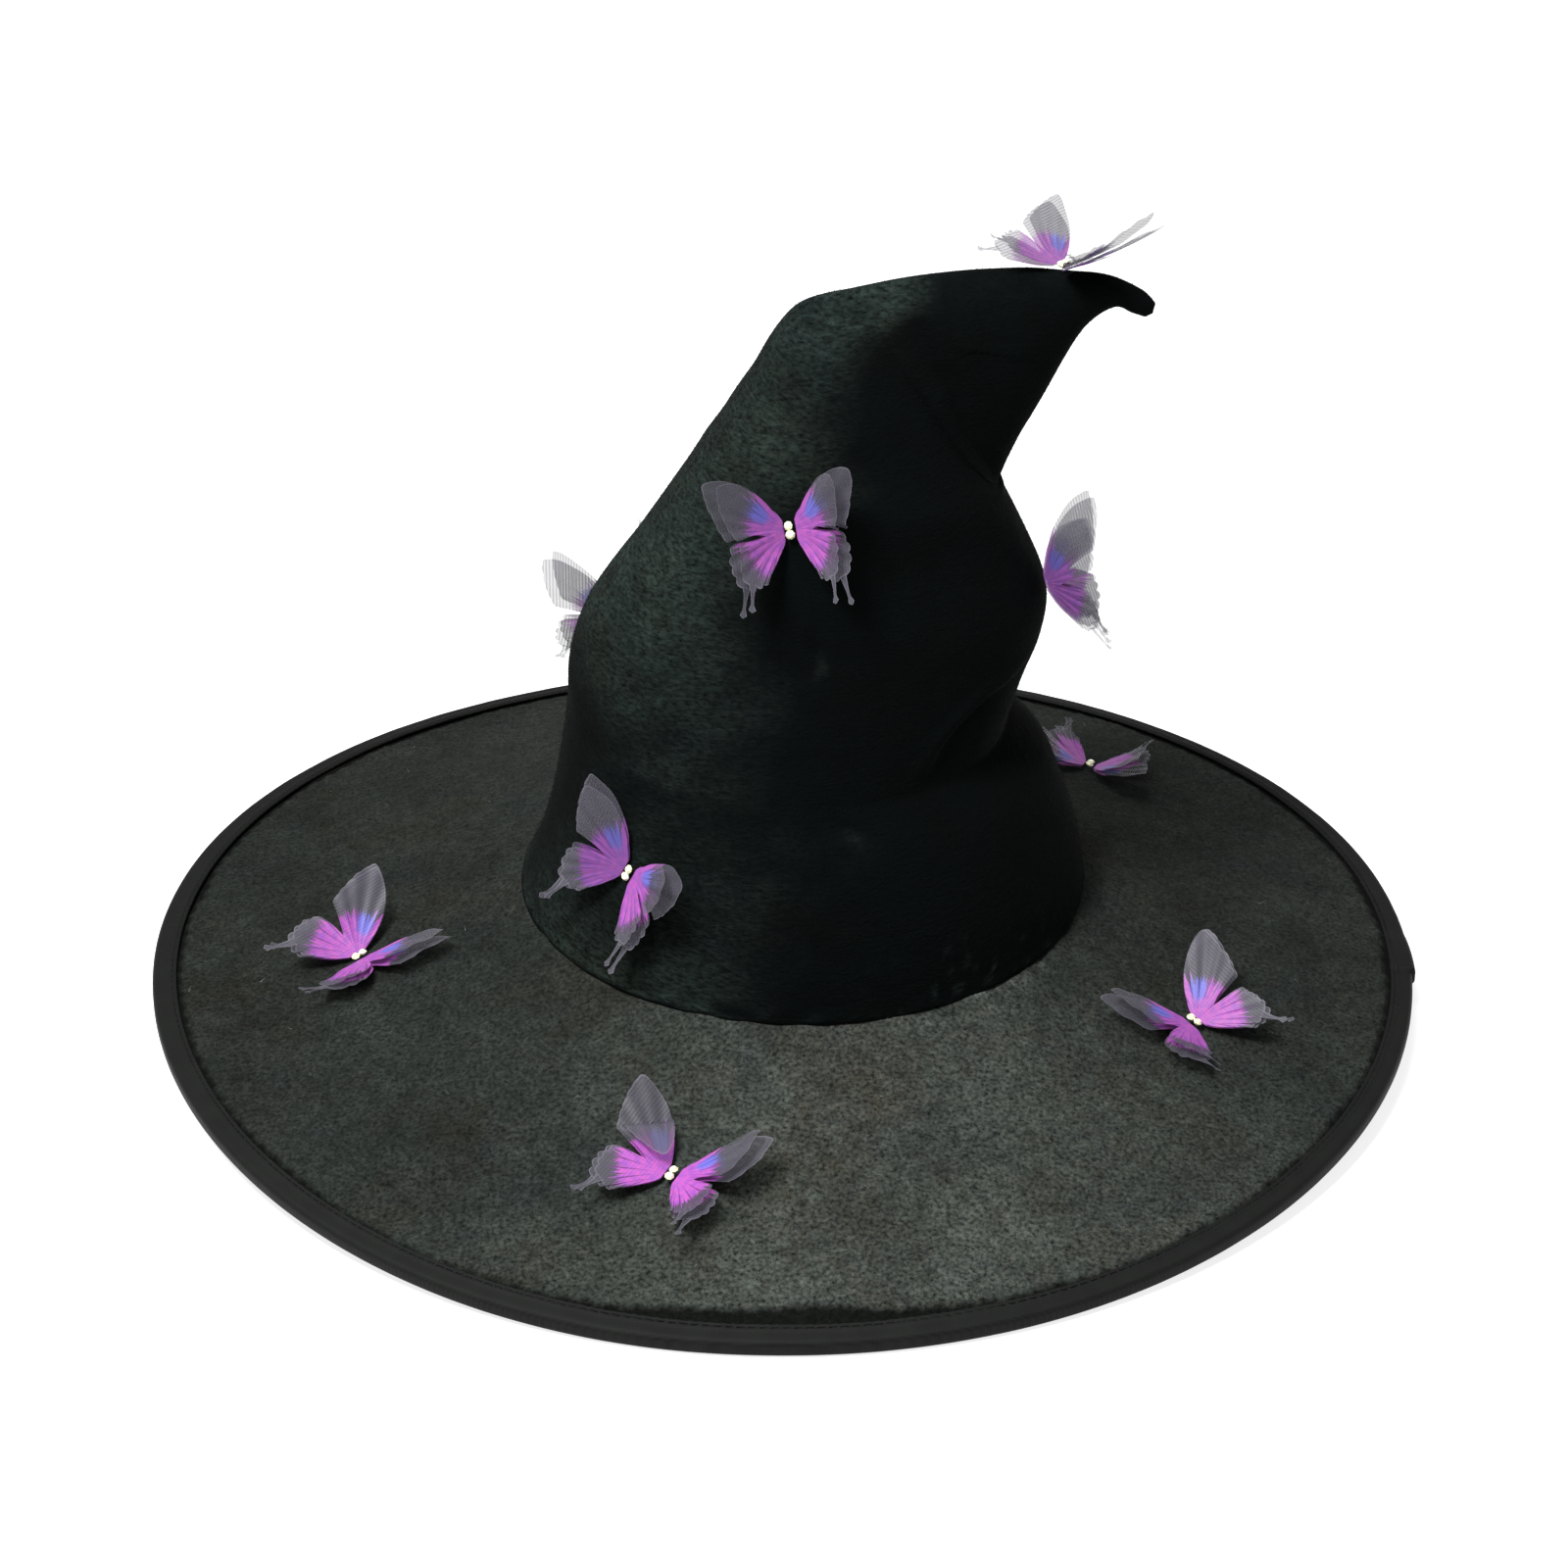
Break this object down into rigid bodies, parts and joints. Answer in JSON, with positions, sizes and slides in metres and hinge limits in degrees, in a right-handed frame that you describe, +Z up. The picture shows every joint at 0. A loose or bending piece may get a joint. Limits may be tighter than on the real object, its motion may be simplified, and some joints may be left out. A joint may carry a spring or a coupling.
{
  "type": "witch hat",
  "caption": "Slouched pointed hat with a wide bound brim, a bending tip and organza butterflies with flexing wings.",
  "frame": {"origin": "middle of the brim, on the level surface that the hat stands on", "axes": "+Z up, +X to the side that the crown slouches to, -Y to the front"},
  "size_m": [0.4201, 0.42, 0.2711],
  "materials": {
    "brim_velvet": "short dense pile",
    "crown_velvet": "short dense pile",
    "stiffener": "stiff needled felt",
    "lining": "matte woven",
    "binding": "matte folded tape",
    "wire": "drawn wire",
    "thread": "twisted thread",
    "interlining": "needled wadding",
    "sweatband": "ribbed ribbon",
    "organza": "sheer woven, printed",
    "stones": "faceted, clear"
  },
  "bodies": {
    "hat": {"brim_top_felt": "brim_velvet", "brim_stiffener": "stiffener", "brim_under_lining": "lining", "edge_binding": "binding", "edge_wire": "wire", "binding_thread": "thread", "crown_shell": "crown_velvet", "crown_interlining": "interlining", "sweatband": "sweatband", "butterfly_crown_front_stones": "stones", "butterfly_crown_low_left_stones": "stones", "butterfly_crown_right_stones": "stones", "butterfly_crown_back_left_stones": "stones", "butterfly_brim_left_stones": "stones", "butterfly_brim_front_stones": "stones", "butterfly_brim_right_stones": "stones", "butterfly_brim_back_stones": "stones"},
    "crown_tip": {"crown_tip_shell": "crown_velvet", "tip_interlining": "interlining", "butterfly_tip_stones": "stones"},
    "butterfly_crown_front_left_wing": {"butterfly_crown_front_left_wing_under": "organza", "butterfly_crown_front_left_wing_top": "organza"},
    "butterfly_crown_front_right_wing": {"butterfly_crown_front_right_wing_under": "organza", "butterfly_crown_front_right_wing_top": "organza"},
    "butterfly_crown_low_left_left_wing": {"butterfly_crown_low_left_left_wing_under": "organza", "butterfly_crown_low_left_left_wing_top": "organza"},
    "butterfly_crown_low_left_right_wing": {"butterfly_crown_low_left_right_wing_under": "organza", "butterfly_crown_low_left_right_wing_top": "organza"},
    "butterfly_crown_right_left_wing": {"butterfly_crown_right_left_wing_under": "organza", "butterfly_crown_right_left_wing_top": "organza"},
    "butterfly_crown_right_right_wing": {"butterfly_crown_right_right_wing_under": "organza", "butterfly_crown_right_right_wing_top": "organza"},
    "butterfly_crown_back_left_left_wing": {"butterfly_crown_back_left_left_wing_under": "organza", "butterfly_crown_back_left_left_wing_top": "organza"},
    "butterfly_crown_back_left_right_wing": {"butterfly_crown_back_left_right_wing_under": "organza", "butterfly_crown_back_left_right_wing_top": "organza"},
    "butterfly_tip_left_wing": {"butterfly_tip_left_wing_under": "organza", "butterfly_tip_left_wing_top": "organza"},
    "butterfly_tip_right_wing": {"butterfly_tip_right_wing_under": "organza", "butterfly_tip_right_wing_top": "organza"},
    "butterfly_brim_left_left_wing": {"butterfly_brim_left_left_wing_under": "organza", "butterfly_brim_left_left_wing_top": "organza"},
    "butterfly_brim_left_right_wing": {"butterfly_brim_left_right_wing_under": "organza", "butterfly_brim_left_right_wing_top": "organza"},
    "butterfly_brim_front_left_wing": {"butterfly_brim_front_left_wing_under": "organza", "butterfly_brim_front_left_wing_top": "organza"},
    "butterfly_brim_front_right_wing": {"butterfly_brim_front_right_wing_under": "organza", "butterfly_brim_front_right_wing_top": "organza"},
    "butterfly_brim_right_left_wing": {"butterfly_brim_right_left_wing_under": "organza", "butterfly_brim_right_left_wing_top": "organza"},
    "butterfly_brim_right_right_wing": {"butterfly_brim_right_right_wing_under": "organza", "butterfly_brim_right_right_wing_top": "organza"},
    "butterfly_brim_back_left_wing": {"butterfly_brim_back_left_wing_under": "organza", "butterfly_brim_back_left_wing_top": "organza"},
    "butterfly_brim_back_right_wing": {"butterfly_brim_back_right_wing_under": "organza", "butterfly_brim_back_right_wing_top": "organza"}
  },
  "joints": [
    {"name": "tip_bend", "type": "hinge", "parent": "hat", "child": "crown_tip", "pos_m": [0.04525, 0, 0.21655], "axis": [0, 1, 0], "range_deg": [-18, 12], "stiffness_Nm_per_rad": 0.4},
    {"name": "crown_front_left_wing_flex", "type": "hinge", "parent": "hat", "child": "butterfly_crown_front_left_wing", "pos_m": [0.00036, -0.04135, 0.18644], "axis": [-0.1656, 0.352, 0.9212], "range_deg": [-47, 22], "stiffness_Nm_per_rad": 0.0016},
    {"name": "crown_front_right_wing_flex", "type": "hinge", "parent": "hat", "child": "butterfly_crown_front_right_wing", "pos_m": [0.00416, -0.04213, 0.18743], "axis": [0.1656, -0.352, -0.9212], "range_deg": [-22, 47], "stiffness_Nm_per_rad": 0.0016},
    {"name": "crown_low_left_left_wing_flex", "type": "hinge", "parent": "hat", "child": "butterfly_crown_low_left_left_wing", "pos_m": [-0.04982, -0.05916, 0.07668], "axis": [0.4552, -0.0471, 0.8892], "range_deg": [-11, 58], "stiffness_Nm_per_rad": 0.0016},
    {"name": "crown_low_left_right_wing_flex", "type": "hinge", "parent": "hat", "child": "butterfly_crown_low_left_right_wing", "pos_m": [-0.04731, -0.06193, 0.07525], "axis": [-0.4552, 0.0471, -0.8892], "range_deg": [-19, 50], "stiffness_Nm_per_rad": 0.0016},
    {"name": "crown_right_left_wing_flex", "type": "hinge", "parent": "hat", "child": "butterfly_crown_right_left_wing", "pos_m": [0.08324, -0.01101, 0.15331], "axis": [-0.274, 0.1779, 0.9451], "range_deg": [-55, 14], "stiffness_Nm_per_rad": 0.0016},
    {"name": "crown_right_right_wing_flex", "type": "hinge", "parent": "hat", "child": "butterfly_crown_right_right_wing", "pos_m": [0.08427, -0.00717, 0.15288], "axis": [0.274, -0.1779, -0.9451], "range_deg": [-35, 34], "stiffness_Nm_per_rad": 0.0016},
    {"name": "crown_back_left_left_wing_flex", "type": "hinge", "parent": "hat", "child": "butterfly_crown_back_left_left_wing", "pos_m": [-0.05244, 0.04472, 0.11373], "axis": [0.0886, -0.2072, 0.9743], "range_deg": [-17, 52], "stiffness_Nm_per_rad": 0.0016},
    {"name": "crown_back_left_right_wing_flex", "type": "hinge", "parent": "hat", "child": "butterfly_crown_back_left_right_wing", "pos_m": [-0.05522, 0.04186, 0.11337], "axis": [-0.0886, 0.2072, -0.9743], "range_deg": [-39, 30], "stiffness_Nm_per_rad": 0.0016},
    {"name": "tip_left_wing_flex", "type": "hinge", "parent": "crown_tip", "child": "butterfly_tip_left_wing", "pos_m": [0.08452, 0.00129, 0.25659], "axis": [0.6398, 0.766, -0.0616], "range_deg": [-11, 58], "stiffness_Nm_per_rad": 0.0016},
    {"name": "tip_right_wing_flex", "type": "hinge", "parent": "crown_tip", "child": "butterfly_tip_right_wing", "pos_m": [0.08757, -0.00129, 0.2563], "axis": [-0.6398, -0.766, 0.0616], "range_deg": [-39, 30], "stiffness_Nm_per_rad": 0.0016},
    {"name": "brim_left_left_wing_flex", "type": "hinge", "parent": "hat", "child": "butterfly_brim_left_left_wing", "pos_m": [-0.13987, -0.02859, 0.02539], "axis": [0.8087, 0.5483, 0.2129], "range_deg": [-29, 40], "stiffness_Nm_per_rad": 0.0016},
    {"name": "brim_left_right_wing_flex", "type": "hinge", "parent": "hat", "child": "butterfly_brim_left_right_wing", "pos_m": [-0.13769, -0.03193, 0.0257], "axis": [-0.8087, -0.5483, -0.2129], "range_deg": [-5, 64], "stiffness_Nm_per_rad": 0.0016},
    {"name": "brim_front_left_wing_flex", "type": "hinge", "parent": "hat", "child": "butterfly_brim_front_left_wing", "pos_m": [-0.03535, -0.14664, 0.02167], "axis": [0.5288, 0.8029, 0.2752], "range_deg": [-13, 56], "stiffness_Nm_per_rad": 0.0016},
    {"name": "brim_front_right_wing_flex", "type": "hinge", "parent": "hat", "child": "butterfly_brim_front_right_wing", "pos_m": [-0.03197, -0.14874, 0.02128], "axis": [-0.5288, -0.8029, -0.2752], "range_deg": [-13, 56], "stiffness_Nm_per_rad": 0.0016},
    {"name": "brim_right_left_wing_flex", "type": "hinge", "parent": "hat", "child": "butterfly_brim_right_left_wing", "pos_m": [0.13014, -0.0695, 0.02494], "axis": [-0.6738, 0.6876, 0.2706], "range_deg": [-6, 63], "stiffness_Nm_per_rad": 0.0016},
    {"name": "brim_right_right_wing_flex", "type": "hinge", "parent": "hat", "child": "butterfly_brim_right_right_wing", "pos_m": [0.13293, -0.06665, 0.02464], "axis": [0.6738, -0.6876, -0.2706], "range_deg": [-23, 46], "stiffness_Nm_per_rad": 0.0016},
    {"name": "brim_back_left_wing_flex", "type": "hinge", "parent": "hat", "child": "butterfly_brim_back_left_wing", "pos_m": [0.11102, 0.0978, 0.02432], "axis": [-0.3024, -0.9162, 0.263], "range_deg": [-19, 50], "stiffness_Nm_per_rad": 0.0016},
    {"name": "brim_back_right_wing_flex", "type": "hinge", "parent": "hat", "child": "butterfly_brim_back_right_wing", "pos_m": [0.1073, 0.09917, 0.02482], "axis": [0.3024, 0.9162, -0.263], "range_deg": [-17, 52], "stiffness_Nm_per_rad": 0.0016}
  ]
}
